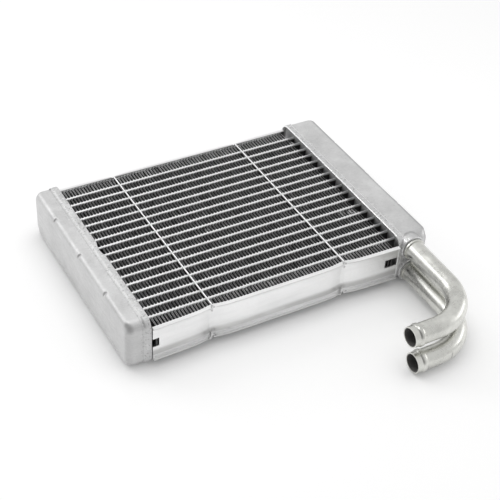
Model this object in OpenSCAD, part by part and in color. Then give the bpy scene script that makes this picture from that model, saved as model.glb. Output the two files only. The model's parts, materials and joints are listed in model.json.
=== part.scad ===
// Brazed aluminium heater core, lying flat.
// Flat tubes run along X between two header plates, corrugated fins fill the
// rows between them, a drawn tank closes each header, and the tank at +X
// carries the two coolant pipes. Z is the air direction. Units: millimetres.

/* [Core] */
// Number of flat tubes
tube_count = 17; // [9:1:21]
// Distance between tube centre planes
tube_pitch = 9.5; // [8.5:0.1:11]
// Free length of the tubes between the two header plates
core_length = 213.5; // [160:0.5:260]
// Depth of tubes, fins and side plates along the air direction
core_depth = 29.8; // [24:0.2:32]

/* [Flat tubes] */
// Outside thickness of a flat tube
tube_thickness = 1.9; // [1.6:0.1:2.4]
// Wall of a flat tube
tube_wall = 0.35; // [0.25:0.05:0.5]
// Thickness of the web that parts a tube into two channels
tube_web = 0.6; // [0.4:0.1:1]
// How far a tube reaches past the header plate into the tank
tube_end_reach = 1; // [0.5:0.1:2]

/* [Fins] */
// Length of one full wave of the fin strip
fin_wave = 2.58; // [2.4:0.02:4]
// Thickness of the fin strip
fin_thickness = 0.2; // [0.1:0.05:0.25]
// Share of a wave that the crests on the pipe side take; the others take the rest
fin_share = 0.36; // [0.32:0.02:0.5]
// Sideways run of a wall between two crests
fin_lean = 0.12; // [0:0.02:0.3]
// Free space between the fin ends and the header plate
fin_end_gap = 5.8; // [4:0.1:9]
// Largest start offset from row to row
fin_stagger = 0.9; // [0:0.1:1.5]
// Depth of the fin strip is this much less than the tube on each side
fin_inset = 0.3; // [0:0.1:1]

/* [Header plates] */
// Thickness of the header plate
header_thickness = 1.5; // [1:0.1:2.2]
// Thickness of the turned flange of the header plate
header_flange_thickness = 1.1; // [0.8:0.1:1.6]
// How far that flange stays back from the edge of the tank
header_flange_setback = 1.7; // [1.6:0.1:1.9]

/* [Tanks] */
// Wall of the drawn tanks
tank_wall = 1.2; // [0.9:0.1:1.6]
// Tank height past the core, above and below
tank_overhang_z = 6.3; // [5:0.1:9]
// Tank length past the outer tube at the pipe end
tank_overhang_y = 11.6; // [9.5:0.1:14]
// How much further the tanks reach at their other end
tank_back_reach = 4.8; // [0:0.1:6]
// Depth of the return tank behind its header plate
return_tank_depth = 15.5; // [10:0.1:22]
// Depth of the port tank behind its header plate
port_tank_depth = 25.4; // [21:0.1:32]
// Skirt of the tank that reaches past the header plate towards the core
skirt_lip = 3; // [2:0.1:4.5]
// Skirt length behind the header plate's face
skirt_back = 2.4; // [1.8:0.1:4]
// Outward step of the skirt
skirt_step = 0.8; // [0.4:0.1:1]
// How far the rolled edge of the skirt stands proud of its wall
rolled_edge = 0.1; // [0.05:0.05:0.2]
// Corner radius of the skirt seen along the tubes
skirt_radius = 9; // [6:0.5:12]
// Rounding of the tank's outer upright corners
tank_corner_radius = 5.2; // [2.5:0.1:6]
// Rounding of the tank's outer top and bottom edges
tank_edge_radius = 3.8; // [2.5:0.1:5.5]
// Thickness of the partition in the port tank
partition_thickness = 1.2; // [0.8:0.1:2]

/* [Stamped darts] */
// Distance between darts along a tank edge
dart_spacing = 47; // [30:1:60]
// Offset of the dart row from the middle of the core
dart_offset = 1.5; // [-5:0.5:5]
// Radius of the pressed groove
dart_radius = 1.8; // [1:0.1:2.5]
// Depth of the pressed groove
dart_depth = 1.1; // [0.4:0.1:1.2]

/* [Dents] */
// Depth of the dent in the return tank's skirt
skirt_dent_depth = 1.8; // [0.5:0.1:2.2]
// Length of that dent
skirt_dent_length = 16.5; // [8:0.5:30]
// Depth of the flat worn on the port tank's outer top edge
edge_flat_depth = 0.6; // [0.2:0.1:0.8]
// Length of that flat
edge_flat_length = 56; // [20:1:80]
// Middle of that flat, measured from the middle of the core
edge_flat_at = -20; // [-40:1:0]

/* [Ports and pipes] */
// Outside diameter of both pipes
pipe_diameter = 16; // [14:0.5:18]
// Wall of both pipes
pipe_wall = 1.3; // [0.7:0.1:1.5]
// Height of each port above or below the middle of the core
port_height = 10.6; // [10.3:0.1:11]
// Distance of the pipes from the port header's face
port_setback = 9; // [8:0.1:12]
// Radius of the pressed collar round a port
collar_radius = 10.2; // [9.5:0.1:10.2]
// How far the collar stands out from the end of the tank
collar_height = 3; // [1.5:0.1:5]
// How far a pipe reaches into the wall of the tank
pipe_insert = 0.2; // [0:0.1:0.3]
// Ring upset on each pipe where it meets the collar
stop_ring = 0.9; // [0.5:0.1:1.4]
// Distance from the tank's end to the open leg of the upper pipe
upper_pipe_run = 83.2; // [70:0.2:110]
// Distance from the tank's end to the open leg of the lower pipe
lower_pipe_run = 88.4; // [70:0.2:110]
// Bend radius of both pipes
bend_radius = 36; // [28:0.5:42]
// Open leg of the upper pipe, from the bend to the mouth
upper_leg = 22.4; // [16:0.1:60]
// Open leg of the lower pipe, from the bend to the mouth
lower_leg = 20.6; // [16:0.1:60]
// Fall of the pipes away from the tank
pipe_droop = 1.1; // [0:0.1:1.2]
// Straight lip between the mouth and the hose bead
bead_setback = 4; // [2.5:0.1:6]
// Width of the hose bead
bead_width = 4.4; // [3:0.1:6]
// Height of the hose bead over the pipe
bead_height = 0.8; // [0.5:0.1:1.2]

/* [Side plates] */
// Sheet thickness of the side plates
plate_thickness = 1; // [0.8:0.1:1.5]
// Distance of the plate's inner face from the outer tube's centre plane
plate_stand = 10.9; // [9:0.1:13]
// Width of the turned flanges
flange_width = 3.2; // [2:0.1:5]
// How much the front plate bows in over its length
front_bow = 1.4; // [0:0.1:2]
// How much the back plate bows in over its length
back_bow = 0.3; // [0:0.1:2]
// How much the wires pinch the front plate
front_pinch = 2.3; // [0:0.1:3]
// How much the wires pinch the back plate
back_pinch = 1.4; // [0:0.1:3]
// Half width of the pinch along the plate
pinch_reach = 7; // [4:0.5:14]
// Gap between the plate's ends and the edges of the tanks
plate_end_gap = 0.4; // [0.2:0.1:2]
// Length of the slot near each end of a plate
slot_length = 10.6; // [6:0.1:14]
// Height of that slot
slot_height = 7.4; // [4:0.1:10]
// Distance of the near slot's outer end from the left header, and of the far one from the right
slot_end = 8.4; // [6:0.1:12]
// Shift of the far slot past that
slot_shift = 6; // [2:0.5:8]

/* [Tie wires] */
// Diameter of the tie wires
wire_diameter = 1.3; // [1:0.1:1.8]
// Distance of the left wires from the left header
left_wire_at = 51; // [35:0.5:70]
// Distance of the right wires from the right header
right_wire_at = 51.5; // [35:0.5:70]
// Length of the hooked ends
wire_hook = 4.4; // [3:0.1:7]
// Inner radius of the bends at the hooks
wire_bend = 0.35; // [0.3:0.05:0.8]
// Width of the notch that holds a wire in a flange
notch_width = 3; // [2:0.1:5]
// Metal left between that notch and the plate's web
notch_margin = 0.2; // [0.1:0.1:0.6]

/* [Fit] */
// Brazed clearance left between parts that fit into each other
braze_gap = 0.05; // [0.02:0.01:0.1]

/* [Hidden] */
$fn = 64;
e = 0.5;                                   // overrun of cutting bodies
half_depth = core_depth/2;
half_row = (tube_count - 1)*tube_pitch/2;  // centre plane of the outer tubes
fin_space = tube_pitch - tube_thickness;   // free height of an inner fin row
tank_mid = tank_back_reach/2;              // middle of the tanks' length
skirt_y = half_row + tank_overhang_y + tank_mid;
skirt_z = half_depth + tank_overhang_z;
rolled_radius = tank_wall/2 + rolled_edge;
body_y = skirt_y - skirt_step;
body_z = skirt_z - skirt_step;
body_radius = skirt_radius - skirt_step;
front_end = tank_mid - body_y;             // end face of the tanks on the pipe side
plate_y = half_row + plate_stand;          // inner face of a side plate at its ends
pipe_r = pipe_diameter/2;
port_x = core_length + port_setback;
left_wire_x = left_wire_at;
right_wire_x = core_length - right_wire_at;
wire_r = wire_diameter/2;
plate_x0 = skirt_lip + plate_end_gap;
plate_x1 = core_length - skirt_lip - plate_end_gap;
plate_stations = 54;

// Centre of the part's outline and the height of its lowest face, so that the
// origin lies under the middle of the part, on the surface that it rests on.
x_min = -return_tank_depth;
x_max = core_length + port_tank_depth;
longer_run = max(upper_pipe_run, lower_pipe_run);
y_min = front_end - longer_run*cos(pipe_droop) - pipe_r - bead_height;
y_max = max(tank_mid + skirt_y + rolled_edge, flange_width + max([for (x = stations()) plate_line(x, back_bow, back_pinch)]));
z_min = -max(skirt_z + rolled_edge, port_height + lower_pipe_run*sin(pipe_droop) + pipe_r + bead_height);
origin_shift = [-(x_min + x_max)/2, -(y_min + y_max)/2, -z_min];

function two(i) = str(i < 10 ? "0" : "", i);
function tube_y(i) = half_row - (i - 1)*tube_pitch;    // tube 1 is the back one
function near_wire(x, at) = 1/(1 + pow((x - at)/pinch_reach, 2));
function along(x) = (x - plate_x0)/(plate_x1 - plate_x0);
// Distance of a side plate's inner face from the middle of the core at x
function plate_curve(x, bow, pinch) =
    plate_y - bow*4*along(x)*(1 - along(x))
    - pinch*(near_wire(x, left_wire_x) + near_wire(x, right_wire_x));
// The same line as the plate is pressed: straight from one station to the next
function station(k) = plate_x0 + (plate_x1 - plate_x0)*k/plate_stations;
function stations() = [for (k = [0:plate_stations]) station(k)];
function plate_line(x, bow, pinch) =
    let (k = min(plate_stations - 1, max(0, floor(along(x)*plate_stations))),
         part = along(x)*plate_stations - k)
    (1 - part)*plate_curve(station(k), bow, pinch) + part*plate_curve(station(k + 1), bow, pinch);

// ---- outlines ----

// Rectangle about the origin with round corners
module round_rect(w, h, r) {
    square([w - 2*r, h], center = true);
    square([w, h - 2*r], center = true);
    for (sx = [-1, 1]) for (sy = [-1, 1])
        translate([sx*(w/2 - r), sy*(h/2 - r)]) circle(r);
}

// Rectangle from x = -depth to x = open, rounded at its two closed corners
module cup_outline(depth, open, half, r) {
    translate([-depth + r, -half]) square([depth - r + open, 2*half]);
    translate([-depth, -half + r]) square([depth + open, 2*half - 2*r]);
    for (s = [-1, 1]) translate([-depth + r, s*(half - r)]) circle(r);
}

// Closed cup form of a tank, open end towards +X, rounded all round
module cup(depth, open, half_y, half_z, r_along, r_corner, r_edge) {
    intersection() {
        translate([-depth, 0, 0]) rotate([90, 0, 90])
            linear_extrude(depth + open) round_rect(2*half_y, 2*half_z, r_along);
        linear_extrude(2*half_z + 2, center = true) cup_outline(depth, open, half_y, r_corner);
        rotate([90, 0, 0]) linear_extrude(2*half_y + 2, center = true)
            cup_outline(depth, open, half_z, r_edge);
    }
}

// ---- tubes and fins ----

module tube_outline(grow = 0) {
    t = tube_thickness + 2*grow;
    square([t, core_depth - tube_thickness], center = true);
    for (s = [-1, 1]) translate([0, s*(core_depth - tube_thickness)/2]) circle(t/2);
}

// Flat tube with two channels either side of its web
module flat_tube(i) {
    inner = tube_thickness - 2*tube_wall;
    channel = (core_depth - tube_thickness - tube_web)/2;
    reach = header_thickness + tube_end_reach;
    color([0.93, 0.93, 0.92])
    translate([-reach, tube_y(i), 0]) rotate([90, 0, 90])
    linear_extrude(core_length + 2*reach) difference() {
        tube_outline();
        for (s = [-1, 1]) {
            translate([0, s*(tube_web + channel)/2]) square([inner, channel], center = true);
            translate([0, s*(core_depth - tube_thickness)/2]) circle(inner/2);
        }
    }
}

// One fin strip: a flat-crested wave between the lines low(x) and high(x)
module fin(row) {
    lead = fin_stagger*(0.5 + 0.5*sin(row*137));
    count = floor((core_length - 2*fin_end_gap - lead)/fin_wave);
    start = fin_end_gap + lead;
    a = (fin_wave*fin_share - fin_lean)/2;
    b = (fin_wave*(1 - fin_share) - fin_lean)/2;
    o = 0.5*fin_thickness;
    front = row == tube_count + 1;
    back = row == 1;
    // free space of this row at x, from the lower to the higher y
    function low(x) = front ? -plate_line(x, front_bow, front_pinch) : tube_y(row) + tube_thickness/2;
    function high(x) = back ? plate_line(x, back_bow, back_pinch) : tube_y(row - 1) - tube_thickness/2;
    function up(x) = [x, high(x) - braze_gap];
    function dn(x) = [x, low(x) + braze_gap];
    t = fin_thickness;
    upper = [for (k = [0:count - 1]) let (p = start + (k + 0.25)*fin_wave, v = p + fin_wave/2)
        each [up(p - b - o), up(p + b + o), dn(v - a + o) + [0, t], dn(v + a - o) + [0, t]]];
    lower = [for (k = [count - 1:-1:0]) let (p = start + (k + 0.25)*fin_wave, v = p + fin_wave/2)
        each [dn(v + a + o), dn(v - a - o), up(p + b - o) - [0, t], up(p - b + o) - [0, t]]];
    color([0.32, 0.32, 0.33])
    translate([0, 0, -half_depth + fin_inset])
        linear_extrude(core_depth - 2*fin_inset) polygon(concat(upper, lower));
}

// ---- header plates ----

// Stamped tray: flat face with a slot for each tube, edge turned to the core
module header_plate() {
    oy = skirt_y - tank_wall - braze_gap;
    oz = skirt_z - tank_wall - braze_gap;
    r = skirt_radius - tank_wall - braze_gap;
    f = header_flange_thickness;
    color([0.66, 0.66, 0.67])
    difference() {
        translate([-header_thickness, tank_mid, 0]) rotate([90, 0, 90])
            linear_extrude(header_thickness + skirt_lip - header_flange_setback)
                round_rect(2*oy, 2*oz, r);
        translate([0, tank_mid, 0]) rotate([90, 0, 90]) linear_extrude(skirt_lip + e)
            round_rect(2*(oy - f), 2*(oz - f), r - f);
        for (i = [1:tube_count])
            translate([-header_thickness - e, tube_y(i), 0]) rotate([90, 0, 90])
                linear_extrude(header_thickness + 2*e) tube_outline(braze_gap);
    }
}

// ---- tanks ----

module tank_form(depth) {
    translate([0, tank_mid, 0]) {
        cup(depth, skirt_lip - 1, body_y, body_z, body_radius, tank_corner_radius, tank_edge_radius);
        translate([-skirt_back, 0, 0]) rotate([90, 0, 90])
            linear_extrude(skirt_back + skirt_lip - rolled_radius)
                round_rect(2*skirt_y, 2*skirt_z, skirt_radius);
    }
}

// Rolled edge along the open end of a skirt: four rods joined by quarter rings
module rolled_lip() {
    y = skirt_y - tank_wall/2;
    z = skirt_z - tank_wall/2;
    r = skirt_radius - tank_wall/2;
    translate([skirt_lip - rolled_radius, tank_mid, 0]) {
        for (s = [-1, 1]) {
            translate([0, 0, s*z]) rotate([90, 0, 0])
                cylinder(h = 2*(y - r), r = rolled_radius, center = true);
            translate([0, s*y, 0]) cylinder(h = 2*(z - r), r = rolled_radius, center = true);
        }
        for (k = [0:3]) rotate([90*k, 0, 0]) {
            half_a = k % 2 == 0 ? y - r : z - r;
            half_b = k % 2 == 0 ? z - r : y - r;
            translate([0, half_a, half_b]) rotate([90, 0, 90])
                rotate_extrude(angle = 90) translate([r, 0]) circle(rolled_radius);
        }
    }
}

module tank_hollow(depth) {
    w = tank_wall;
    translate([0, tank_mid, 0]) cup(depth - w, skirt_lip + e, body_y - w, body_z - w, body_radius - w,
        tank_corner_radius - w, tank_edge_radius - w);
    translate([-header_thickness - braze_gap, tank_mid, 0]) rotate([90, 0, 90])
        linear_extrude(header_thickness + skirt_lip + e)
            round_rect(2*(skirt_y - w), 2*(skirt_z - w), skirt_radius - w);
}

// Plain drawn tank with darts and a dent in the top edge of its skirt
module return_tank() {
    dent_r = (pow(skirt_dent_length/2, 2) + pow(skirt_dent_depth, 2))/(2*skirt_dent_depth);
    color([0.80, 0.80, 0.80])
    difference() {
        union() {
            difference() {
                tank_form(return_tank_depth);
                difference() {
                    tank_hollow(return_tank_depth);
                    dart_backs(return_tank_depth);
                }
                dart_cuts(return_tank_depth);
            }
            rolled_lip();
        }
        translate([skirt_lip + dent_r - skirt_dent_depth, 0.2, skirt_z - 3])
            cylinder(h = 6, r = dent_r);
    }
}

// Pressed grooves across the outer top and bottom edges of a tank
module dart_cuts(depth) {
    a = tank_edge_radius*(1 - sqrt(0.5));
    for (k = [-1:1]) for (s = [-1, 1])
        translate([-depth + a, dart_offset + k*dart_spacing, s*(body_z - a)])
            rotate([0, s*45, 0])
                translate([-dart_radius + dart_depth, 0, 0])
                    cylinder(h = 4*tank_edge_radius, r = dart_radius, center = true);
}

// Metal that a dart pushes into the tank
module dart_backs(depth) {
    a = tank_edge_radius*(1 - sqrt(0.5));
    for (k = [-1:1]) for (s = [-1, 1])
        translate([-depth + a, dart_offset + k*dart_spacing, s*(body_z - a)])
            rotate([0, s*45, 0])
                translate([-dart_radius + dart_depth, 0, 0])
                    cylinder(h = 4*tank_edge_radius, r = dart_radius + tank_wall, center = true);
}

// Collar pressed out of the tank's end round each port
module collar() {
    rotate([90, 0, 0]) rotate_extrude() union() {
        square([collar_radius - 1, collar_height]);
        square([collar_radius, collar_height - 1]);
        translate([collar_radius - 1, collar_height - 1]) circle(1);
    }
}

// Deeper drawn tank with the two ports in its front end
module port_tank() {
    flat_r = (pow(edge_flat_length/2, 2) + pow(edge_flat_depth, 2))/(2*edge_flat_depth);
    a = tank_edge_radius*(1 - sqrt(0.5));
    color([0.80, 0.80, 0.79])
    difference() {
        union() {
            translate([core_length, 0, 0]) mirror([1, 0, 0]) tank_form(port_tank_depth);
            for (s = [-1, 1]) {
                translate([port_x, front_end, s*port_height]) collar();
                translate([port_x, front_end + body_radius, s*port_height]) rotate([90, 0, 0])
                    cylinder(h = body_radius + e/2, r = collar_radius);
            }
            translate([core_length, 0, 0]) mirror([1, 0, 0]) rolled_lip();
        }
        difference() {
            translate([core_length, 0, 0]) mirror([1, 0, 0]) tank_hollow(port_tank_depth);
            translate([core_length, 0, 0]) mirror([1, 0, 0]) {
                dart_backs(port_tank_depth);
                rolled_lip();
            }
        }
        translate([core_length, 0, 0]) mirror([1, 0, 0]) dart_cuts(port_tank_depth);
        for (s = [-1, 1])
            translate([port_x, front_end, s*port_height]) rotate([pipe_droop - 90, 0, 0])
                translate([0, 0, -collar_height - e])
                    cylinder(h = collar_height + e + tank_wall + 1, r = pipe_r + braze_gap);
        // flat worn along the outer top edge
        translate([core_length + port_tank_depth - a, edge_flat_at, body_z - a])
            rotate([0, 45, 0]) translate([0, 0, flat_r - edge_flat_depth]) rotate([0, 90, 0])
                cylinder(h = 4*tank_edge_radius, r = flat_r, center = true, $fn = 720);
    }
}

// Baffle that parts the port tank into an upper and a lower chamber
module tank_partition() {
    color([0.72, 0.72, 0.72])
    translate([core_length, tank_mid, 0]) mirror([1, 0, 0]) linear_extrude(partition_thickness, center = true)
        cup_outline(port_tank_depth - tank_wall - braze_gap,
            -header_thickness - tube_end_reach - braze_gap,
            body_y - tank_wall - braze_gap, tank_corner_radius - tank_wall);
}

// ---- pipes ----

// Pipe core of radius r: straight run, bend and open leg, from the port
module pipe_form(r, run, leg, extra) {
    straight = run - bend_radius;
    translate([0, pipe_insert + extra, 0]) rotate([90, 0, 0])
        cylinder(h = straight + pipe_insert + extra, r = r);
    translate([-bend_radius, -straight, 0]) rotate([0, 0, -90])
        rotate_extrude(angle = 90) translate([bend_radius, 0]) circle(r);
    translate([-bend_radius, -run, 0]) rotate([0, -90, 0]) cylinder(h = leg + extra, r = r);
}

// Hose bead: a low round ring on the open leg
module hose_bead(run, leg) {
    ring_r = (pow(bead_width/2, 2) + pow(bead_height, 2))/(2*bead_height);
    translate([-bend_radius - leg + bead_setback + bead_width/2, -run, 0]) rotate([0, 90, 0])
        rotate_extrude() intersection() {
            translate([pipe_r + bead_height - ring_r, 0]) circle(ring_r);
            translate([pipe_r - pipe_wall/2, -bead_width/2]) square([bead_height + pipe_wall, bead_width]);
        }
}

module pipe(height, run, leg) {
    translate([port_x, front_end, height]) rotate([pipe_droop, 0, 0])
    difference() {
        union() {
            pipe_form(pipe_r, run, leg, 0);
            hose_bead(run, leg);
            translate([0, -collar_height - 0.3, 0]) rotate([90, 0, 0])
                cylinder(h = 1.6, r = pipe_r + stop_ring);
        }
        pipe_form(pipe_r - pipe_wall, run, leg, e);
    }
}

module upper_pipe() { color([0.78, 0.78, 0.75]) pipe(port_height, upper_pipe_run, upper_leg); }
module lower_pipe() { color([0.78, 0.78, 0.75]) pipe(-port_height, lower_pipe_run, lower_leg); }

// ---- side plates ----

module plate_band(bow, pinch, from, to) {
    xs = stations();
    n = len(xs);
    polygon(concat(
        [for (k = [0:n - 1]) [xs[k], plate_line(xs[k], bow, pinch) + from]],
        [for (k = [n - 1:-1:0]) [xs[k], plate_line(xs[k], bow, pinch) + to]]));
}

// Channel with its flanges turned away from the core, drawn on the +Y side
module side_plate(bow, pinch) {
    t = plate_thickness;
    color([0.92, 0.92, 0.92])
    difference() {
        linear_extrude(core_depth, center = true) plate_band(bow, pinch, 0, flange_width);
        linear_extrude(core_depth - 2*t, center = true) plate_band(bow, pinch, t, flange_width + e);
        // slots near the ends
        translate([slot_end - slot_length, plate_y - 6, -slot_height/2])
            cube([slot_length, 12, slot_height]);
        translate([core_length - slot_end - slot_shift, plate_y - 6, -slot_height/2 + 1])
            cube([slot_length, 12, slot_height]);
        // notches for the wires
        for (x = [left_wire_x, right_wire_x]) for (s = [-1, 1])
            translate([x - notch_width/2, plate_line(x, bow, pinch) + t + notch_margin, s*half_depth - 2])
                cube([notch_width, flange_width + 2, 4]);
    }
}

module front_side_plate() { mirror([0, 1, 0]) side_plate(front_bow, front_pinch); }
module back_side_plate() { side_plate(back_bow, back_pinch); }

// ---- tie wires ----

// Wire over one face of the core, hooked down into the notches of both plates
module tie_wire(x) {
    bend = wire_r + wire_bend;
    z = half_depth + wire_r + braze_gap;
    past = plate_thickness + notch_margin + bend;
    yf = round(100*(plate_line(x, front_bow, front_pinch) + past))/100;
    yb = round(100*(plate_line(x, back_bow, back_pinch) + past))/100;
    color([0.95, 0.95, 0.95]) {
        translate([x, yb - bend, z]) rotate([90, 0, 0])
            cylinder(h = yf + yb - 2*bend, r = wire_r);
        translate([x, yb - bend, z - bend]) rotate([90, 0, 90])
            rotate_extrude(angle = 90) translate([bend, 0]) circle(wire_r);
        translate([x, -yf + bend, z - bend]) rotate([90, 0, 90]) rotate([0, 0, 90])
            rotate_extrude(angle = 90) translate([bend, 0]) circle(wire_r);
        for (y = [yb, -yf])
            translate([x, y, z - bend - wire_hook]) cylinder(h = wire_hook, r = wire_r);
    }
}

module top_wire(x) { tie_wire(x); }
module bottom_wire(x) { mirror([0, 0, 1]) tie_wire(x); }

// ---- assembly ----

translate(origin_shift) {
    for (i = [1:tube_count])
        flat_tube(i);
    for (i = [1:tube_count + 1])
        fin(i);
    header_plate();  // return_header
    translate([core_length, 0, 0]) mirror([1, 0, 0]) header_plate();  // port_header
    return_tank();
    port_tank();
    tank_partition();
    upper_pipe();
    lower_pipe();
    front_side_plate();
    back_side_plate();
    top_wire(left_wire_x);  // top_wire_left
    top_wire(right_wire_x);  // top_wire_right
    bottom_wire(left_wire_x);  // bottom_wire_left
    bottom_wire(right_wire_x);  // bottom_wire_right
}
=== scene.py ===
import json
import math
import random

import bmesh
import bpy
import numpy as np
from mathutils import Matrix, Vector


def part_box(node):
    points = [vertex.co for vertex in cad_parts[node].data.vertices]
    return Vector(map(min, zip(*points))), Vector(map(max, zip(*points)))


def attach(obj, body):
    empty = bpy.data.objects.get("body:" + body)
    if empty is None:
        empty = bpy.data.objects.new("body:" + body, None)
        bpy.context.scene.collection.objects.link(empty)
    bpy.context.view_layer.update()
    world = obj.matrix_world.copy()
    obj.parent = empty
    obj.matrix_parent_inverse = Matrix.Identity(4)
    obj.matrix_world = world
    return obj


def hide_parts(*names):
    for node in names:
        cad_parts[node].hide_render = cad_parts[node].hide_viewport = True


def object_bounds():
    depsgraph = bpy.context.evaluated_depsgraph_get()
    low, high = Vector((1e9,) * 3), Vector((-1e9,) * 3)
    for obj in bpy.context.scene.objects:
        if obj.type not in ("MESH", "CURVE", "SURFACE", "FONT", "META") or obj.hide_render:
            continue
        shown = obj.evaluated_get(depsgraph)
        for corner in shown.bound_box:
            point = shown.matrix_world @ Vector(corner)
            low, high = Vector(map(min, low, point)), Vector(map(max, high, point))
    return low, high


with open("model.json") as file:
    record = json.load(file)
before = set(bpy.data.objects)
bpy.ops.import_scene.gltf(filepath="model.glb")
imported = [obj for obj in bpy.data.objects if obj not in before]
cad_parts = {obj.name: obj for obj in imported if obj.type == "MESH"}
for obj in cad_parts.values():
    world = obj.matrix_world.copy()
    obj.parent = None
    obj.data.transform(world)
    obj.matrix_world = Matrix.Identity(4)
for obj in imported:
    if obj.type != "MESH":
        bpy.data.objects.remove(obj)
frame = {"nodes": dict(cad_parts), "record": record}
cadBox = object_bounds()
nodes = frame["nodes"]
print("frame loaded:", len(nodes), "nodes")


# ---- the core's own axes: millimetres from the left header face, mid width, mid depth ----

midTube = "flat_tube_%02d" % ((sum(n.startswith("flat_tube_") for n in nodes) + 1) // 2)
tubeLow, tubeHigh = (Vector(corner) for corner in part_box(midTube))
coreLength = 213.5
corePlace = (tubeLow + tubeHigh) / 2 - Vector((coreLength / 2000, 0, 0))


def place(x, y, z):  # millimetres on the core -> metres in the frame
    return corePlace + Vector((x, y, z)) / 1000


def millimetres(node):  # a node's box on the core's own axes
    return [(Vector(corner) - corePlace) * 1000 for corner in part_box(node)]


skirtRolled = 0.1
skirtLow, skirtHigh = millimetres("return_tank")
middleY = (skirtLow.y + skirtHigh.y) / 2
halfY, halfZ = (skirtHigh.y - skirtLow.y) / 2 - skirtRolled, (skirtHigh.z - skirtLow.z) / 2 - skirtRolled


# ---- node expressions ----


class Sock:  # a socket that can be used in sums
    def __init__(self, graph, socket):
        self.graph, self.socket = graph, socket

    def __add__(self, other):
        return self.graph.calc("ADD", self, other)

    __radd__ = __add__

    def __sub__(self, other):
        return self.graph.calc("SUBTRACT", self, other)

    def __rsub__(self, other):
        return self.graph.calc("SUBTRACT", other, self)

    def __mul__(self, other):
        return self.graph.calc("MULTIPLY", self, other)

    __rmul__ = __mul__

    def __truediv__(self, other):
        return self.graph.calc("DIVIDE", self, other)

    def __rtruediv__(self, other):
        return self.graph.calc("DIVIDE", other, self)

    def __pow__(self, other):
        return self.graph.calc("POWER", self, other)

    def __gt__(self, other):
        return self.graph.calc("GREATER_THAN", self, other)

    def __lt__(self, other):
        return self.graph.calc("LESS_THAN", self, other)


class Graph:
    def __init__(self, tree):
        self.tree = tree

    def node(self, kind, settings=None, values=None, out=0):  # any node; out picks the output
        made = self.tree.nodes.new(kind)
        for key, value in (settings or {}).items():
            if key == "stops":
                ramp = made.color_ramp
                while len(ramp.elements) < len(value):
                    ramp.elements.new(0.5)
                for element, (at, colour) in zip(ramp.elements, value):
                    element.position = at
                    element.color = colour if len(colour) == 4 else (*colour, 1)
            else:
                setattr(made, key, value)
        for key, value in (values or {}).items():
            if isinstance(value, Sock):
                self.tree.links.new(value.socket, made.inputs[key])
            else:
                made.inputs[key].default_value = value
        if out is None:
            return made
        return Sock(self, made.outputs[out])

    def calc(self, operation, *terms):
        return self.node("ShaderNodeMath", {"operation": operation}, dict(enumerate(terms)))

    def ramp(self, value, *stops):
        return self.node("ShaderNodeValToRGB", {"stops": stops}, {0: value})

    def span(self, value, low, high, toLow=0.0, toHigh=1.0, smooth=False):
        return self.node("ShaderNodeMapRange", {"interpolation_type": "SMOOTHSTEP" if smooth else "LINEAR"},
                         {0: value, 1: low, 2: high, 3: toLow, 4: toHigh})

    def blend(self, factor, first, second):  # colours
        made = self.node("ShaderNodeMix", {"data_type": "RGBA"}, {0: factor, 6: first, 7: second}, None)
        return Sock(self, made.outputs[2])


def grey(level, warm=0.0):
    return (level * (1 + warm), level, level * (1 - warm), 1)


def material(name, build):
    made = bpy.data.materials.new(name)
    made.use_nodes = True
    made.node_tree.nodes.clear()
    graph = Graph(made.node_tree)
    where = graph.node("ShaderNodeTexCoord", out="Object")
    surface = build(graph, where)
    graph.node("ShaderNodeOutputMaterial", values={0: surface}, out=None)
    return made


def speckle(graph, where, scale, detail=3.0, rough=0.55, stretch=(1, 1, 1)):
    laid = graph.node("ShaderNodeMapping", {}, {"Vector": where, "Scale": stretch})
    return graph.node("ShaderNodeTexNoise", {}, {"Vector": laid, "Scale": scale, "Detail": detail, "Roughness": rough})


def heightAt(graph, where):
    parts = graph.node("ShaderNodeSeparateXYZ", {}, {0: where}, None)
    return Sock(graph, parts.outputs["Z"])


def fromEdge(graph, where, halfDepth):  # metres below the core's nearer open face
    return halfDepth / 1000 - graph.calc("ABSOLUTE", heightAt(graph, where) - corePlace.z)


def bump(graph, height, strength, distance, normal=None):
    values = {"Height": height, "Strength": strength, "Distance": distance}
    if normal:
        values["Normal"] = normal
    return graph.node("ShaderNodeBump", {}, values)


# ---- metals ----

tankFinish = {"light": 0.80, "dark": 0.62, "roughness": 0.58, "scuffScale": 260.0, "bump": 0.4,
              "fleck": 0.42, "fluxReach": 6.5, "endShade": 0.42, "endShadeTone": 0.42,
              "stepShade": 0.4, "stepShadeTone": 0.34, "lipHighlight": 0.0, "outerEdgeShade": 0.0, "outerEdgeShadeTone": 0.36}
portTankFinish = dict(tankFinish, roughness=0.42, stepShade=0.0, outerEdgeShade=0.6, lipHighlight=0.9)


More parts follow.
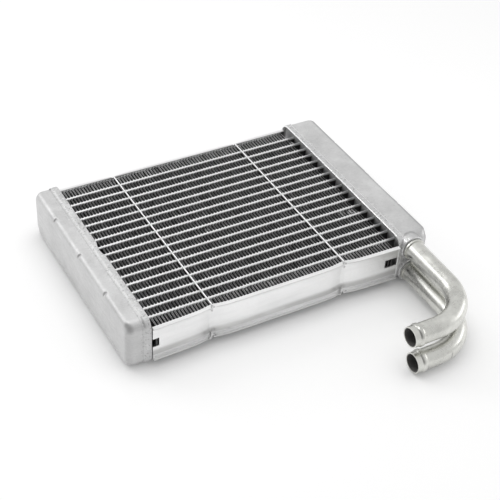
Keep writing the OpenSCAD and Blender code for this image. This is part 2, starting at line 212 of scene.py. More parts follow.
def tankMetal(graph, where, s=tankFinish):
    cloud = speckle(graph, where, 28, 4)
    fine = speckle(graph, where, s["scuffScale"], 3)
    drawn = speckle(graph, where, 90, 5, 0.7, (1, 1, 7))
    colour = graph.blend(graph.span(cloud * 0.6 + drawn * 0.4, 0.35, 0.65), grey(s["dark"]), grey(s["light"]))
    # flux spots and pits, thickest along the skirts
    parts = graph.node("ShaderNodeSeparateXYZ", {}, {0: where}, None)
    inward = coreLength / 2000 - graph.calc("ABSOLUTE", Sock(graph, parts.outputs["X"]) - corePlace.x - coreLength / 2000)
    nearSkirt = graph.span(graph.calc("ABSOLUTE", inward), 0.001, s["fluxReach"] / 1000, 1, 0.16)
    pits = graph.span(speckle(graph, where, 620, 2), 0.57, 0.65) * nearSkirt
    flux = graph.span(speckle(graph, where, 430, 3, 0.6, (1, 1.2, 0.8)), 0.56, 0.64) * nearSkirt
    colour = graph.blend(pits * 0.8, colour, grey(s["fleck"]))
    colour = graph.blend(flux * 0.7, colour, grey(0.95))
    # painted shade: the ends on the pipe side are darker, most of all at the upright corners
    towardEnd = (corePlace.y + (middleY + halfY) / 1000) - Sock(graph, parts.outputs["Y"]) - 2 * halfY / 1000
    atEnd = graph.span(towardEnd, -0.009, -0.003, 0, 1, True)
    outerCorner = graph.span(inward, -0.0155, -0.009, 1, 0.25, True)
    colour = graph.blend(atEnd * outerCorner * s["endShade"] * (0.6 + cloud * 0.8), colour, grey(s["endShadeTone"]))
    if s["stepShade"]:  # painted shade in the step behind the skirt
        stepShade = graph.span(inward, -0.0041, -0.0036, 0, 1) * graph.span(inward, -0.0036, -0.0031, 1, 0)
        colour = graph.blend(stepShade * graph.span(cloud, 0.35, 0.55, 0.2, 1) * s["stepShade"], colour, grey(s["stepShadeTone"]))
    if s["outerEdgeShade"]:  # painted shade along the outer edge, darkest where it turns over
        rimShade = graph.span(inward, -0.0226, -0.0206, s["outerEdgeShade"], 0, True)
        colour = graph.blend(rimShade, colour, grey(s["outerEdgeShadeTone"]))
    # painted highlight: white lines along the lip and the step of the port tank
    lipHighlight = graph.span(inward, 0.0021, 0.0025) + graph.span(inward, -0.0029, -0.0026) * graph.span(inward, -0.0022, -0.0019, 1, 0)
    colour = graph.blend(lipHighlight * s["lipHighlight"], colour, grey(1.0))
    rough = s["roughness"] + (cloud - 0.5) * 0.3 + (fine - 0.5) * 0.2 + flux * 0.2 - lipHighlight * s["lipHighlight"] * 0.15
    normal = bump(graph, fine * 0.5 + drawn + flux * 0.8 - pits, s["bump"], 0.0003)
    return graph.node("ShaderNodeBsdfPrincipled", {}, {
        "Base Color": colour, "Roughness": rough, "Normal": normal, "Metallic": 1.0})


tubeFinish = {"light": 1.0, "dark": 0.95, "deep": 0.12, "fade": 1.9, "roughness": 0.32}


def tubeMetal(graph, where):
    s = tubeFinish
    cloud = speckle(graph, where, 60, 3)
    fine = speckle(graph, where, 500, 2)
    colour = graph.blend(graph.span(cloud, 0.35, 0.6), grey(s["dark"]), grey(s["light"]))
    # painted shade: the tube sides darken below the open faces of the core
    depthShade = graph.span(fromEdge(graph, where, 14.9), 0.0011, s["fade"] / 1000, 0, 1, True)
    colour = graph.blend(depthShade, colour, grey(s["deep"]))
    return graph.node("ShaderNodeBsdfPrincipled", {}, {
        "Base Color": colour, "Roughness": s["roughness"] + (fine - 0.5) * 0.2 + depthShade * 0.15,
        "Normal": bump(graph, fine, 0.2, 0.0002), "Metallic": 0.7})


finFan = [  # handled spots: place along and across the core, reach and lean in millimetres
    (207.3, 68.9, 1.6, 1.4), (207.6, -2.6, 1.6, 1.4), (201.3, -34.9, 3.0, 1.3), (87.6, -6.2, 1.8, 1.2),
    (81.1, -78.8, 2.0, 1.8), (100.4, -80.8, 3.2, 1.5), (193.0, -33.0, 2.2, 0.9), (36.0, 61.0, 2.0, 0.7)]
finFinish = {"bright": 0.4, "deep": 0.035, "fade": 0.34, "louvre": 1.15, "spotShine": 0.9, "spotFade": 1.4,
              "roughness": 0.42, "halfDepth": 14.6}
# lighter copies of the fin paint for the outer rows: painted highlight for how light falls on them
backFinFinish = dict(finFinish, bright=0.8, deep=0.035, fade=0.6)
frontFinFinish = dict(finFinish, bright=0.72)


def finMetal(graph, where, s=finFinish):
    height, depth = heightAt(graph, where), fromEdge(graph, where, s["halfDepth"])
    cloud = speckle(graph, where, 60, 3)
    fine = speckle(graph, where, 700, 2)
    # painted shade: fins are light near the open faces, dark deeper down and darker in the louvre slits
    lit = 1 - graph.span(depth, 0, s["fade"] / 1000, 0, 1, True)
    slits = graph.calc("FRACT", height / (s["louvre"] / 1000))
    slitMask = graph.span(graph.calc("ABSOLUTE", slits - 0.5), 0.38, 0.5)
    tone = lit * (0.75 + cloud * 0.5) * (1 - slitMask * 0.5)
    parts = graph.node("ShaderNodeSeparateXYZ", {}, {0: where}, None)
    spots = None  # painted highlight where bent folds catch the light
    for along, across, reach, lean in finFan:
        x, y = (Sock(graph, parts.outputs[axis]) - at for axis, at in zip("XY", place(along, across, 0)))
        near = graph.span(graph.calc("SQRT", x ** 2 + y ** 2), reach * 0.0008, reach * 0.0016, s["spotShine"], 0, True)
        spots = near if spots is None else graph.calc("MAXIMUM", spots, near)
    shallow = 1 - graph.span(depth, 0, s["spotFade"] / 1000, 0, 1, True)
    colour = graph.blend(tone, grey(s["deep"]), grey(s["bright"]))
    colour = graph.blend(spots * shallow * graph.span(fine, 0.4, 0.55, 0.2, 1), colour, grey(1.0))
    return graph.node("ShaderNodeBsdfPrincipled", {}, {
        "Base Color": colour, "Roughness": s["roughness"] + (fine - 0.5) * 0.3,
        "Normal": bump(graph, slits + fine * 0.3, 0.35, 0.0003), "Metallic": 0.75})


headerFinish = {"light": 0.62, "dark": 0.48, "roughness": 0.62}


def headerMetal(graph, where):
    s = headerFinish
    cloud = speckle(graph, where, 40, 4)
    fine = speckle(graph, where, 400, 3)
    colour = graph.blend(graph.span(cloud, 0.35, 0.65), grey(s["dark"]), grey(s["light"]))
    return graph.node("ShaderNodeBsdfPrincipled", {}, {
        "Base Color": colour, "Roughness": s["roughness"] + (fine - 0.5) * 0.3,
        "Normal": bump(graph, fine, 0.3, 0.0002), "Metallic": 0.35})


plateFinish = {"light": 0.99, "dark": 0.86, "creaseShadeStrength": 0.85, "creaseShade": 0.45, "roughness": 0.36, "lipAt": 86.9, "lipDepth": 1.3,
               "foldShade": 0.0, "foldAt": 86.4, "foldReach": 2.2}
backPlateFinish = dict(plateFinish, foldShade=1.0)


def plateMetal(graph, where, s=plateFinish):
    cloud = speckle(graph, where, 22, 4)
    rolled = speckle(graph, where, 160, 4, 0.6, (0.12, 1, 1))
    fine = speckle(graph, where, 500, 3)
    colour = graph.blend(graph.span(cloud * 0.5 + rolled * 0.5, 0.35, 0.6), grey(s["dark"]), grey(s["light"]))
    # painted shade: grey streaks below the folded top edge and over the lower web
    depth = fromEdge(graph, where, 14.9)
    up = heightAt(graph, where) - corePlace.z
    band = graph.span(up, -0.0125, -0.0105, 0, 1, True) * graph.span(up, -0.0088, -0.0045, 1, 0, True)
    line = graph.span(up, 0.0116, 0.0124, 0, 1, True) * graph.span(up, 0.0128, 0.0136, 1, 0, True)
    creaseShade = graph.calc("MAXIMUM", band * 0.8, line)
    streak = graph.span(speckle(graph, where, 34, 3, 0.6, (0.3, 1, 1)), 0.3, 0.52, 0.3, 1, True)
    parts = graph.node("ShaderNodeSeparateXYZ", {}, {0: where}, None)
    out = graph.calc("ABSOLUTE", Sock(graph, parts.outputs["Y"]) - corePlace.y)
    lip = graph.span(out, s["lipAt"] / 1000, (s["lipAt"] + 0.5) / 1000) * graph.span(depth, s["lipDepth"] / 1000 - 0.0003, s["lipDepth"] / 1000, 1, 0)
    colour = graph.blend(creaseShade * streak * s["creaseShadeStrength"], colour, grey(s["creaseShade"], 0.01))
    if s["foldShade"]:  # painted shade on the fold beside the fins
        reach = (s["foldAt"] / 1000, (s["foldAt"] + s["foldReach"]) / 1000)
        colour = graph.blend(graph.span(out, *reach, s["foldShade"], 0, True), colour, grey(0.16))
    return graph.node("ShaderNodeBsdfPrincipled", {}, {
        "Base Color": colour, "Roughness": s["roughness"] + (rolled - 0.5) * 0.25 + (cloud - 0.5) * 0.1 + lip * 0.1,
        "Normal": bump(graph, rolled * 0.7 + fine, 0.5, 0.0006), "Metallic": 1 - lip * 0.9})


pipeFinish = {"light": 0.8, "dark": 0.6, "warm": 0.05, "roughness": 0.3, "boreShade": 0.2, "boreDepth": 0.03,
              "mouths": (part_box("upper_pipe"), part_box("lower_pipe"))}


def pipeTone(level):
    return (level, level, level * (1 - pipeFinish["warm"]), 1)


def pipeMetal(graph, where):
    s = pipeFinish
    cloud = speckle(graph, where, 35, 4)
    fine = speckle(graph, where, 350, 3)
    mottle = speckle(graph, where, 130, 5, 0.65)
    colour = graph.blend(graph.span(cloud * 0.5 + mottle * 0.5, 0.4, 0.62), pipeTone(s["dark"]), pipeTone(s["light"]))
    # painted shade inside each open leg, which is also rougher and less metallic there
    parts = graph.node("ShaderNodeSeparateXYZ", {}, {0: where}, None)
    y, z = Sock(graph, parts.outputs["Y"]), Sock(graph, parts.outputs["Z"])
    boreShade = None
    for low, high in s["mouths"]:
        across = graph.calc("SQRT", (y - (low[1] + 0.0088)) ** 2 + (z - (low[2] + 0.0088)) ** 2)
        inside = (across < 0.0071) * (Sock(graph, parts.outputs["X"]) < low[0] + s["boreDepth"])
        boreShade = inside if boreShade is None else graph.calc("MAXIMUM", boreShade, inside)
    colour = graph.blend(boreShade, colour, grey(s["boreShade"], 0.02))
    return graph.node("ShaderNodeBsdfPrincipled", {}, {
        "Base Color": colour, "Roughness": s["roughness"] + (cloud - 0.5) * 0.3 + (mottle - 0.5) * 0.3 + boreShade * 0.3,
        "Normal": bump(graph, fine * 0.6 + mottle * 2, 0.14, 0.0003), "Metallic": 1 - boreShade * 0.7})


wireFinish = {"light": 0.95, "roughness": 0.3}


def wireMetal(graph, where):
    s = wireFinish
    fine = speckle(graph, where, 300, 2)
    return graph.node("ShaderNodeBsdfPrincipled", {}, {
        "Base Color": graph.blend(fine, grey(s["light"] * 0.88), grey(s["light"])),
        "Roughness": s["roughness"] + (fine - 0.5) * 0.2, "Metallic": 0.8})


finishes = {
    "tube": material("brazedTube", tubeMetal), "fin": material("finStrip", finMetal),
    "backFin": material("backFinStrip", lambda graph, where: finMetal(graph, where, backFinFinish)),
    "frontFin": material("frontFinStrip", lambda graph, where: finMetal(graph, where, frontFinFinish)),
    "backPlate": material("backPlate", lambda graph, where: plateMetal(graph, where, backPlateFinish)),
    "header": material("headerSheet", headerMetal), "tank": material("drawnTank", tankMetal),
    "portTank": material("drawnPortTank", lambda graph, where: tankMetal(graph, where, portTankFinish)),
    "pipe": material("bentPipe", pipeMetal), "side_plate": material("rolledPlate", plateMetal),
    "wire": material("tieWire", wireMetal)}
slots = {row["node"]: row["material_slot"] for row in frame["record"]["subparts"]}


# ---- drawn tanks: rings run from the rolled lip over the skirt and body to the crowned end ----

tankForm = {
    "lip": 3.0, "skirtEnd": 2.4, "step": 0.8, "skirtRadius": 9.0, "rolled": skirtRolled, "wall": 1.2,
    "edge": 3.8, "corner": 5.2, "fullness": 1.5, "crown": 0.3, "sag": 0.12, "dartSpacing": 47.0, "dartAt": 1.5,
    "dartRadius": 2.0, "dartDepth": 1.1, "ringStep": 2.2, "dartStep": 0.3, "collarRadius": 10.2, "collarReach": 3.0,
    "collarBore": 8.05, "portSetback": 9.0, "portHeight": 10.6, "nickDepth": 1.8, "nickLength": 16.5, "nickAt": 0.2,
    "wornDepth": 0.6, "wornLength": 56.0, "wornAt": -20.0}


def easeStep(value):  # 0 to 1 with soft ends
    value = np.clip(value, 0, 1)
    return value * value * (3 - 2 * value)


def skirtRound(halfY, halfZ):  # the skirt's outline seen along the tubes: points and outward normals
    f = tankForm
    flatY, flatZ = halfY - f["skirtRadius"], halfZ - f["skirtRadius"]
    along = set(np.linspace(-flatY, flatY, int(2 * flatY / f["ringStep"])))
    for k in (-1, 0, 1):
        dart = f["dartAt"] + k * f["dartSpacing"] - middleY
        near = dart + np.arange(-2.7, 2.71, f["dartStep"])
        along |= set(near) | set(-near)
    along = np.unique(np.round(np.array(list(along)) / f["dartStep"])) * f["dartStep"]
    along = np.unique(np.clip(along, -flatY, flatY))
    upright = np.linspace(-flatZ, flatZ, 9)
    turn = np.radians(np.arange(9, 90, 9))
    points, normals = [], []
    for quarter in range(4):
        side = along if quarter % 2 == 0 else upright
        reach = (halfZ, halfY)[quarter % 2]
        centre = ((flatY, flatZ), (flatZ, flatY))[quarter % 2]
        straight = [((-v, reach), (0.0, 1.0)) for v in -side[::-1]]
        arc = [((-centre[0] - f["skirtRadius"] * math.sin(a), centre[1] + f["skirtRadius"] * math.cos(a)),
                (-math.sin(a), math.cos(a))) for a in turn]
        for point, normal in straight + arc:
            for _ in range(quarter):  # a quarter turn each
                point, normal = (-point[1], point[0]), (-normal[1], normal[0])
            points.append(point)
            normals.append(normal)
    return np.array(points), np.array(normals)


def drawnTank(name, node, faceAt, side, depth, stepRun):
    f = tankForm
    outline, normal = skirtRound(halfY, halfZ)
    mixed = 4 * (normal[:, 0] * normal[:, 1]) ** 2
    rounding = f["edge"] + (f["corner"] - f["edge"]) * normal[:, 0] ** 2 + f["fullness"] * mixed
    plain = np.ones(len(outline))
    bead = (f["wall"] + 2 * f["rolled"]) / 2
    rings = []  # distance outward from the header face, and inset from the skirt's outline, at each point
    for angle in np.radians((-90, -60, -30, 0, 30, 60, 90)):
        rings.append(((bead - f["lip"] - bead * math.cos(angle)) * plain, (f["wall"] / 2 - bead * math.sin(angle)) * plain))
    rings.append((-1.3 * plain, 0.0 * plain))
    rings.append((-0.4 * plain, 0.0 * plain))
    for t in np.linspace(0, 1, 7):
        rings.append(((f["skirtEnd"] - 0.5 + stepRun * (t - 0.5)) * plain, f["step"] * easeStep(t) * plain))
    start, end = rings[-1][0], depth - f["crown"] - rounding
    for t in (0.1, 0.3, 0.5, 0.7, 0.9):
        rings.append((start + (end - start) * t, f["step"] + f["sag"] * math.sin(math.pi * t) * (1 - mixed)))
    for angle in np.radians(np.arange(0, 91, 7.5)):
        rings.append((end + rounding * math.sin(angle), f["step"] + rounding * (1 - math.cos(angle))))
    outer = [np.column_stack((d, outline - normal * inset[:, None])) for d, inset in rings]
    last = outer[-1]
    for shrink in (0.93, 0.8, 0.55, 0.25):
        ring = last.copy()
        ring[:, 1:] *= shrink
        ring[:, 0] += f["crown"] * (1 - (ring[:, 1] / last[:, 1].max()) ** 2) * (1 - (ring[:, 2] / last[:, 2].max()) ** 2)
        outer.append(ring)
    # pressed darts across the outer top and bottom edges
    for ring in outer:
        for k in (-1, 0, 1):
            away = ring[:, 1] + middleY - (f["dartAt"] + k * f["dartSpacing"])
            groove = np.sqrt(np.clip(f["dartRadius"] ** 2 - away ** 2, 0, None)) - f["dartRadius"] + f["dartDepth"]
            groove = np.where(np.abs(away) < f["dartRadius"], groove, -9.0)
            corner = f["edge"] * (1 - math.sqrt(0.5))
            below = ((depth - corner - ring[:, 0]) + (halfZ - f["step"] - corner - np.abs(ring[:, 2]))) * math.sqrt(0.5)
            push = np.clip(groove - below, 0, None) * math.sqrt(0.5)
            ring[:, 0] -= push
            ring[:, 2] -= push * np.sign(ring[:, 2])
        if side < 0:  # a knock in the top edge of the skirt
            bend = np.clip(1 - ((ring[:, 1] + middleY - f["nickAt"]) / f["nickLength"] * 2) ** 2, 0, None)
            ring[:, 0] += f["nickDepth"] * bend * np.clip((1.6 - ring[:, 0]) / 4, 0, 1) * (ring[:, 2] > 0) * (ring[:, 2] / halfZ) ** 8
        else:  # a flat worn along the outer top edge
            worn = np.clip(1 - ((ring[:, 1] + middleY - f["wornAt"]) / f["wornLength"] * 2) ** 2, 0, None) * f["wornDepth"]
            corner = f["edge"] * (1 - math.sqrt(0.5))
            below = ((depth - corner - ring[:, 0]) + (halfZ - f["step"] - corner - ring[:, 2])) * math.sqrt(0.5)
            push = np.clip(worn - below, 0, None) * math.sqrt(0.5)
            ring[:, 0] -= push
            ring[:, 2] -= push
    inner, w = [], f["wall"]
    for d, inset in ((-1.0, w), (f["skirtEnd"], w), (f["skirtEnd"] + 1, w + f["step"])):
        inner.append(np.column_stack((d * plain, outline - normal * inset)))
    for angle in np.radians((0, 30, 60, 90)):
        radius = rounding - w
        inner.append(np.column_stack((end + radius * math.sin(angle), outline - normal * (
            f["step"] + f["sag"] * 2 + w + radius * (1 - math.cos(angle)))[:, None])))
    rings, count = inner[::-1] + outer, len(outline)
    corners = np.concatenate(rings)
    corners = [place(faceAt + side * d, middleY + y, z) for d, y, z in corners]
    faces = [(k * count + i, k * count + (i + 1) % count, (k + 1) * count + (i + 1) % count, (k + 1) * count + i)
             for k in range(len(rings) - 1) for i in range(count)]
    faces += [tuple(range(count - 1, -1, -1)), tuple(range((len(rings) - 1) * count, len(rings) * count))]
    if side > 0:
        for height in (-f["portHeight"], f["portHeight"]):
            lathe(corners, faces, (faceAt + f["portSetback"], middleY - halfY + f["step"], height))
    mesh = bpy.data.meshes.new(name)
    mesh.from_pydata(corners, [], faces)
    shape = bmesh.new()
    shape.from_mesh(mesh)
    bmesh.ops.recalc_face_normals(shape, faces=shape.faces)
    for face in shape.faces:
        face.smooth = True
    shape.to_mesh(mesh)
    shape.free()
    piece = bpy.data.objects.new(name, mesh)
    bpy.context.collection.objects.link(piece)
    mesh.materials.append(finishes["tank" if side < 0 else "portTank"])
    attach(piece, "root")
    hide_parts(node)
    return piece


def lathe(corners, faces, foot, steps=56):  # a pressed collar round a port, rounded at its rim
    f = tankForm
    rim = f["collarRadius"] - 1
    section = [(f["collarBore"], -6.0), (f["collarRadius"] - 0.2, -6.0), (f["collarRadius"], -2.0),
               (f["collarRadius"], f["collarReach"] - 1)]
    section += [(rim + math.cos(a), f["collarReach"] - 1 + math.sin(a)) for a in np.radians((22, 45, 68, 90))]
    section += [(f["collarBore"] + 0.3, f["collarReach"]), (f["collarBore"], f["collarReach"] - 0.3)]
    base, turns = len(corners), [2 * math.pi * k / steps for k in range(steps)]
    for radius, reach in section:
        corners += [place(foot[0] + radius * math.cos(a), foot[1] - reach, foot[2] + radius * math.sin(a)) for a in turns]
    for k in range(len(section)):
        for i in range(steps):
            a, b = base + k * steps, base + (k + 1) % len(section) * steps
            faces.append((a + i, a + (i + 1) % steps, b + (i + 1) % steps, b + i))


tanks = [drawnTank("drawnReturnTank", "return_tank", 0.0, -1, -skirtLow.x, 1.8),
         drawnTank("drawnPortTank", "port_tank", coreLength, 1, millimetres("port_tank")[1].x - coreLength, 1.5)]
print("tanks drawn with", sum(len(tank.data.polygons) for tank in tanks), "faces")


# ---- braze beads where the wires meet the plate lips ----

beadRow = {"steps": 3, "squash": 0.75, "lumps": 0.22, "seed": 5, "spots": [  # place, then radius
    (48.2, -88.6, -12.4, 1.5), (53.8, -88.3, -12.0, 1.2), (159.4, -88.6, -12.4, 1.3), (164.6, -88.3, -12.2, 1.1),
    (49.0, -88.8, 14.0, 0.8), (160.3, -88.8, 14.0, 0.8), (-3.0, 86.6, 20.2, 0.85), (-1.3, 84.4, 20.7, 0.6),
    (-0.4, 81.4, 20.75, 0.45), (-3.4, 83.6, 20.2, 0.4), (216.0, 87.2, 20.4, 0.6)]}
shape = bmesh.new()
dice = np.random.default_rng(beadRow["seed"])
for x, y, z, radius in beadRow["spots"]:
    made = bmesh.ops.create_icosphere(shape, subdivisions=beadRow["steps"], radius=1)["verts"]
    sway = dice.uniform(0, 6.3, 3)
    for vert in made:
        lump = 1 + beadRow["lumps"] * math.sin(2.3 * vert.co.x + sway[0]) * math.cos(2.9 * vert.co.y + sway[1])
        co = vert.co * radius * lump
        vert.co = place(x + co.x, y + co.y * beadRow["squash"], z + co.z * beadRow["squash"])
for face in shape.faces:
    face.smooth = True
mesh = bpy.data.meshes.new("brazeBeads")
shape.to_mesh(mesh)
shape.free()
beads = bpy.data.objects.new("brazeBeads", mesh)
bpy.context.collection.objects.link(beads)
mesh.materials.append(finishes["tank"])
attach(beads, "root")
print("braze beads set:", len(beadRow["spots"]))


# ---- fin strips: a folded wave in each row, brazed to its neighbours with small fillets ----

finStrip = {
    "wave": 2.58, "share": 0.3, "lean": 0.12, "thickness": 0.2, "depth": 29.2, "endGap": 4.8, "stagger": 0.9,
    "clear": 0.06, "bendEase": 0.035, "round": 0.04, "wander": 0.05, "ruffle": 0.04, "fillet": 0.5, "filletGrow": 0.5}


finRow = {"plateStart": place(3.4, 0, 0).x, "plateLength": 0.2067, "pinchReach": 0.007, "plateFace": 86.9,
          "wires": (place(51, 0, 0).x, place(162, 0, 0).x), "bows": (0.3, 1.4), "pinches": (1.4, 2.3)}


def brazePaint(graph, where):
    fine = speckle(graph, where, 600, 2)
    # painted shade: the fillets are dark below the open faces and light near them
    lit = 1 - graph.span(fromEdge(graph, where, 14.7), 0.0003, 0.0016, 0, 1, True)
    colour = graph.blend(lit, grey(0.08), graph.blend(fine, grey(0.8), grey(0.97)))
    return graph.node("ShaderNodeBsdfPrincipled", {}, {
        "Base Color": colour, "Roughness": 0.35 + fine * 0.2, "Metallic": 0.5})


def inputSocket(tree, name, kind, default=None):
    made = tree.interface.new_socket(name, in_out="INPUT", socket_type=kind)
    if default is not None:
        made.default_value = default
    return made.identifier


def finTree():
    tree = bpy.data.node_groups.new("finRow", "GeometryNodeTree")
    keys = {}
    for name, kind, default in (
            ("Waves", "NodeSocketInt", 66), ("Start", "NodeSocketFloat", 0.0), ("Wave", "NodeSocketFloat", 0.00308),
            ("Low", "NodeSocketFloat", 0.0), ("High", "NodeSocketFloat", 0.0076), ("Middle", "NodeSocketFloat", 0.0),
            ("Low Bow", "NodeSocketFloat", 0.0), ("High Bow", "NodeSocketFloat", 0.0),
            ("Low Pinch", "NodeSocketFloat", 0.0), ("High Pinch", "NodeSocketFloat", 0.0),
            ("Thickness", "NodeSocketFloat", 0.00027), ("Depth", "NodeSocketFloat", 0.0292),
            ("Wander", "NodeSocketFloat", 0.0001), ("Fillet", "NodeSocketFloat", 0.0004),
            ("Fillet Grow", "NodeSocketFloat", 0.0005), ("Share", "NodeSocketFloat", 0.36),
            ("Lean", "NodeSocketFloat", 0.00012), ("Seed", "NodeSocketInt", 1),
            ("Strip", "NodeSocketMaterial", None), ("Braze", "NodeSocketMaterial", None)):
        keys[name] = inputSocket(tree, name, kind, default)
    tree.interface.new_socket("Geometry", in_out="OUTPUT", socket_type="NodeSocketGeometry")
    g = Graph(tree)
    group = g.node("NodeGroupInput", out=None)
    given = {name: Sock(g, group.outputs[name]) for name in keys}
    index = g.node("GeometryNodeInputIndex")

    def edge(x, base, bow, pinch, sign):  # a row's side, bowed and pinched where it meets a side plate
        along = (x - finRow["plateStart"]) / finRow["plateLength"]
        sag = given[bow] * 4 * along * (1 - along)
        for at in finRow["wires"]:
            sag = sag + given[pinch] / (1 + ((x - at) / finRow["pinchReach"]) ** 2)
        return given[base] + sag * sign

    # the folded line, eight points to a wave
    fold = g.calc("FLOOR", index / 4)
    corner = g.calc("FLOORED_MODULO", index, 4) - 1.5
    upper = 1 - g.calc("FLOORED_MODULO", fold, 2)
    outer = g.calc("ABSOLUTE", corner) > 1
    narrow = (given["Share"] * given["Wave"] - given["Lean"]) / 2
    wide = ((1 - given["Share"]) * given["Wave"] - given["Lean"]) / 2
    step = g.calc("SIGN", corner) * (narrow + (wide - narrow) * upper - finStrip["bendEase"] / 1000 * (1 - outer) * 2.5)
    jitter = g.node("FunctionNodeRandomValue", {"data_type": "FLOAT"},
                    {2: -1.0, 3: 1.0, "ID": fold, "Seed": given["Seed"]}, 1)
    x = given["Start"] + (fold * 0.5 + 0.25) * given["Wave"] + step + jitter * given["Wander"]
    half = given["Thickness"] * 0.5 + finStrip["clear"] / 1000
    low = edge(x, "Low", "Low Bow", "Low Pinch", 1) + half
    high = edge(x, "High", "High Bow", "High Pinch", -1) - half
    height = upper * (1 - 2 * outer * finStrip["round"]) + outer * finStrip["round"]
    y = low + (high - low) * height
    spot = g.node("ShaderNodeCombineXYZ", {}, {"X": x, "Y": y, "Z": given["Middle"]})
    line = g.node("GeometryNodeMeshLine", {}, {"Count": given["Waves"] * 8})
    line = g.node("GeometryNodeSetPosition", {}, {"Geometry": line, "Position": spot})
    path = g.node("GeometryNodeMeshToCurve", {}, {"Mesh": line})
    path = g.node("GeometryNodeSetCurveNormal", {"mode": "Z_UP"}, {"Curve": path})

    # the strip's section: thin and deep, with extra points near its two free edges
    ring = g.node("GeometryNodeCurvePrimitiveCircle", {}, {"Resolution": 8})
    quarter = g.calc("FLOORED_MODULO", index, 4)
    side = 1 - 2 * g.calc("FLOOR", index / 4)
    rise = g.calc("SIGN", quarter - 1.5) * (0.5 - 0.055 * ((g.calc("ABSOLUTE", quarter - 1.5) < 1)))
    section = g.node("ShaderNodeCombineXYZ", {}, {"X": side * 0.5 * given["Thickness"], "Y": rise * side * given["Depth"]})
    ring = g.node("GeometryNodeSetPosition", {}, {"Geometry": ring, "Position": section})
    strip = g.node("GeometryNodeCurveToMesh", {}, {"Curve": path, "Profile Curve": ring, "Fill Caps": True})
    strip = g.node("GeometryNodeSetShadeSmooth", {}, {"Geometry": strip, "Shade Smooth": False})
    strip = g.node("GeometryNodeSetMaterial", {}, {"Geometry": strip, "Material": given["Strip"]})

    # a braze fillet under every crest, wide at the wall it sits on
    crests = g.node("GeometryNodeMeshLine", {}, {"Count": given["Waves"] * 2})
    upperCrest = 1 - g.calc("FLOORED_MODULO", index, 2)
    crestJitter = g.node("FunctionNodeRandomValue", {"data_type": "FLOAT"},
                         {2: -1.0, 3: 1.0, "ID": index, "Seed": given["Seed"]}, 1)
    cx = given["Start"] + (index * 0.5 + 0.25) * given["Wave"] + crestJitter * given["Wander"]
    lowWall, highWall = edge(cx, "Low", "Low Bow", "Low Pinch", 1), edge(cx, "High", "High Bow", "High Pinch", -1)
    cy = lowWall + (highWall - lowWall) * upperCrest
    crestSpot = g.node("ShaderNodeCombineXYZ", {}, {"X": cx, "Y": cy, "Z": given["Middle"]})
    crests = g.node("GeometryNodeSetPosition", {}, {"Geometry": crests, "Position": crestSpot})
    block = g.node("GeometryNodeMeshCube", {}, {"Size": (1.0, 1.0, 1.0)})
    here = g.node("GeometryNodeInputPosition")
    parts = g.node("ShaderNodeSeparateXYZ", {}, {0: here}, None)
    px, py, pz = (Sock(g, parts.outputs[axis]) for axis in "XYZ")
    shape = g.node("ShaderNodeCombineXYZ", {}, {
        "X": px * (0.62 - py * 0.76), "Y": (py + 0.5) * given["Fillet"],
        "Z": pz * (given["Depth"] + 0.00016)})
    block = g.node("GeometryNodeSetPosition", {}, {"Geometry": block, "Position": shape})
    turn = g.node("ShaderNodeCombineXYZ", {}, {"Z": upperCrest * math.pi})
    swell = g.node("FunctionNodeRandomValue", {"data_type": "FLOAT"},
                   {2: 0.75, 3: 1.25, "ID": index, "Seed": given["Seed"] + 7}, 1)
    size = g.node("ShaderNodeCombineXYZ", {}, {
        "X": ((narrow + (wide - narrow) * upperCrest) * 2 + given["Fillet Grow"]) * swell, "Y": swell, "Z": 1.0})
    placed = g.node("GeometryNodeInstanceOnPoints", {}, {"Points": crests, "Instance": block, "Rotation": turn, "Scale": size})
    placed = g.node("GeometryNodeRealizeInstances", {}, {"Geometry": placed})
    placed = g.node("GeometryNodeSetMaterial", {}, {"Geometry": placed, "Material": given["Braze"]})
    joined = g.node("GeometryNodeJoinGeometry", out=None)
    tree.links.new(strip.socket, joined.inputs[0])
    tree.links.new(placed.socket, joined.inputs[0])
    tree.links.new(joined.outputs[0], g.node("NodeGroupOutput", out=None).inputs[0])
    return tree, keys


def grown(name, tree, keys, values):  # runs a tree and keeps its result as a plain mesh
    holder = bpy.data.objects.new(name + "Path", bpy.data.meshes.new(name + "Path"))
    bpy.context.collection.objects.link(holder)
    modifier = holder.modifiers.new("nodes", "NODES")
    modifier.node_group = tree
    for key, value in values.items():
        modifier[keys[key]] = value
    bpy.context.view_layer.update()
    mesh = bpy.data.meshes.new_from_object(holder.evaluated_get(bpy.context.evaluated_depsgraph_get()))
    mesh.name = name
    bpy.data.objects.remove(holder)
    piece = bpy.data.objects.new(name, mesh)
    bpy.context.collection.objects.link(piece)
    return piece


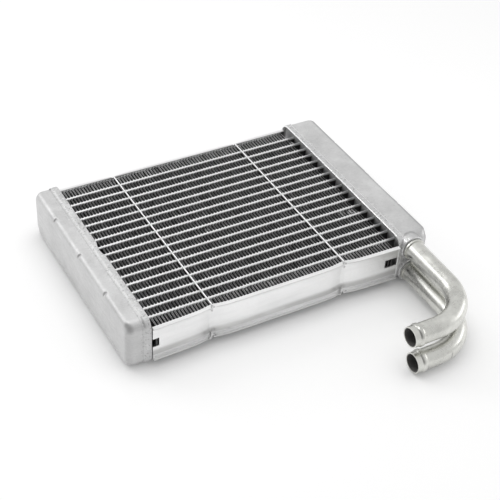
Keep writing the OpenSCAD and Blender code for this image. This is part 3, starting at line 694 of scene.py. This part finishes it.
brazeMetal = material("brazeFillet", brazePaint)
tree, keys = finTree()
rows = sum(name.startswith("fin_") for name in nodes)
strips = []
for row in range(1, rows + 1):
    back, front = row == 1, row == rows
    lead = finStrip["stagger"] * (0.5 + 0.5 * math.sin(math.radians(row * 137)))
    low = place(0, -finRow["plateFace"], 0).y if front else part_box("flat_tube_%02d" % row)[1][1]
    high = place(0, finRow["plateFace"], 0).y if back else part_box("flat_tube_%02d" % (row - 1))[0][1]
    strip = grown("finStrip%02d" % row, tree, keys, {
        "Waves": int((coreLength - 2 * finStrip["endGap"] - lead) / finStrip["wave"]),
        "Start": place(finStrip["endGap"] + lead, 0, 0).x, "Wave": finStrip["wave"] / 1000,
        "Low": low, "High": high, "Middle": corePlace.z,
        "Low Bow": finRow["bows"][1] / 1000 * front, "High Bow": finRow["bows"][0] / 1000 * back,
        "Low Pinch": finRow["pinches"][1] / 1000 * front, "High Pinch": finRow["pinches"][0] / 1000 * back,
        "Thickness": finStrip["thickness"] / 1000, "Depth": finStrip["depth"] / 1000,
        "Wander": finStrip["wander"] / 1000, "Fillet": finStrip["fillet"] / 1000,
        "Fillet Grow": finStrip["filletGrow"] / 1000, "Share": finStrip["share"], "Lean": finStrip["lean"] / 1000, "Seed": row, "Strip": finishes["backFin" if back else "frontFin" if front else "fin"], "Braze": brazeMetal})
    points = np.empty(len(strip.data.vertices) * 3, np.float32)
    strip.data.vertices.foreach_get("co", points)
    points = points.reshape(-1, 3)
    rng = np.random.default_rng(row)
    outside = np.abs(points[:, 2] - corePlace.z) > finStrip["depth"] / 2000 - 0.0001
    points[:, 0] += outside * rng.normal(0, finStrip["ruffle"] / 1000, len(points))
    top = points[:, 2] > corePlace.z + finStrip["depth"] / 2000 - 0.0001
    for x, y, reach, lean in finFan:
        spot = place(x, y, 0)
        if low - 0.001 < spot.y < high + 0.001:
            near = np.exp(-((points[:, 0] - spot.x) ** 2 + (points[:, 1] - spot.y) ** 2) / (reach / 1000) ** 2) * top
            points[:, 0] += near * lean / 1000
            points[:, 2] -= near * lean * 0.35 / 1000
    strip.data.vertices.foreach_set("co", points.ravel())
    strip.data.update()
    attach(strip, "root")
    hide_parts("fin_%02d" % row)
    strips.append(strip)
print("fin strips folded:", len(strips), "with", sum(len(strip.data.polygons) for strip in strips), "faces")
for name, obj in nodes.items():
    obj.data.materials.clear()
    obj.data.materials.append(finishes["backPlate" if name == "back_side_plate" else slots[name]])
print("metals laid on", len(nodes), "nodes")


# ---- floor, lamps and camera ----

stageLook = {"floorSize": 6.0, "floorColour": 0.93, "worldLight": 0.78, "roomLight": 0.25, "fill": 0.18, "white": 2.1,
              "contact": 0.025, "contactFall": 0.8}


def floorPaint(graph, where):
    s = stageLook
    path = graph.node("ShaderNodeLightPath", out=None)
    seen = graph.calc("MAXIMUM", Sock(graph, path.outputs["Is Camera Ray"]), Sock(graph, path.outputs["Is Glossy Ray"]))
    seen = graph.calc("MAXIMUM", seen, Sock(graph, path.outputs["Is Transmission Ray"]))
    table = graph.node("ShaderNodeBsdfPrincipled", {}, {"Base Color": grey(s["floorColour"]), "Roughness": 0.25,
                                                        "Specular IOR Level": 0.3})
    # painted contact shadow: the white glow darkens near the object by ambient occlusion
    clear = graph.node("ShaderNodeAmbientOcclusion", {"samples": 12}, {"Distance": s["contact"]}, "AO")
    shade = graph.blend(clear ** s["contactFall"], grey(0), grey(1))
    glow = graph.node("ShaderNodeEmission", {}, {"Color": shade, "Strength": s["white"]})
    return graph.node("ShaderNodeMixShader", {}, {0: seen * s["fill"], 1: table, 2: glow})


bpy.ops.mesh.primitive_plane_add(size=stageLook["floorSize"])
floor = bpy.context.object
floor.name = "floor"
floor.location.z = cadBox[0][2] - 0.0002
floor.data.materials.append(material("paleTable", floorPaint))

world = bpy.data.worlds.new("studio")
bpy.context.scene.world = world
world.use_nodes = True
world.node_tree.nodes.clear()
sky = Graph(world.node_tree)
path = sky.node("ShaderNodeLightPath", out=None)
heading = sky.node("ShaderNodeTexCoord", out="Generated")
towards = sky.node("ShaderNodeVectorMath", {"operation": "DOT_PRODUCT"},
                   {0: heading, 1: Vector((-0.8, -0.5, 0.3)).normalized()}, "Value")
roomSide = sky.span(towards, 0.25, 0.85, stageLook["worldLight"], stageLook["roomLight"], True)
background = sky.node("ShaderNodeBackground", {}, {"Color": (1, 1, 1, 1), "Strength":
                      sky.calc("MAXIMUM", Sock(sky, path.outputs["Is Camera Ray"]), roomSide)})
sky.node("ShaderNodeOutputWorld", values={0: background}, out=None)

lamps = {
    "overhead": {"at": (40, 60, 800), "to": (110, 0, 0), "size": (0.36, 0.28), "watts": 1.1},
    "leftBack": {"at": (-440, 660, 560), "to": (110, 0, 0), "size": (0.5, 0.5), "watts": 1.6},
    "right": {"at": (700, -230, 150), "to": (255, -120, 0), "size": (0.3, 0.14), "watts": 0.22}}
for name, lamp in lamps.items():
    data = bpy.data.lights.new(name, "AREA")
    data.shape = "RECTANGLE"
    data.size, data.size_y = lamp["size"]
    data.energy = lamp["watts"]
    obj = bpy.data.objects.new(name, data)
    bpy.context.collection.objects.link(obj)
    start, aim = place(*lamp["at"]), place(*lamp["to"])
    obj.matrix_world = Matrix.Translation(start) @ (aim - start).to_track_quat("-Z", "Y").to_matrix().to_4x4()

cameraSpot = {"at": (-253.907, -639.482, 580.338), "right": (0.87484, -0.48215, 0.04667),
              "down": (-0.27261, -0.56969, -0.77533), "forward": (0.40042, 0.66557, -0.62983),
              "focal": 1193.98, "frame": 500}
lens = bpy.data.cameras.new("camera")
lens.sensor_width = 36
lens.lens = cameraSpot["focal"] / cameraSpot["frame"] * lens.sensor_width
camera = bpy.data.objects.new("camera", lens)
bpy.context.collection.objects.link(camera)
axes = Matrix((cameraSpot["right"], [-v for v in cameraSpot["down"]], [-v for v in cameraSpot["forward"]])).transposed()
camera.matrix_world = Matrix.Translation(place(*cameraSpot["at"])) @ axes.to_4x4()
bpy.context.scene.camera = camera
bpy.context.scene.view_settings.view_transform = "Standard"
print("stage, lamps and camera set")
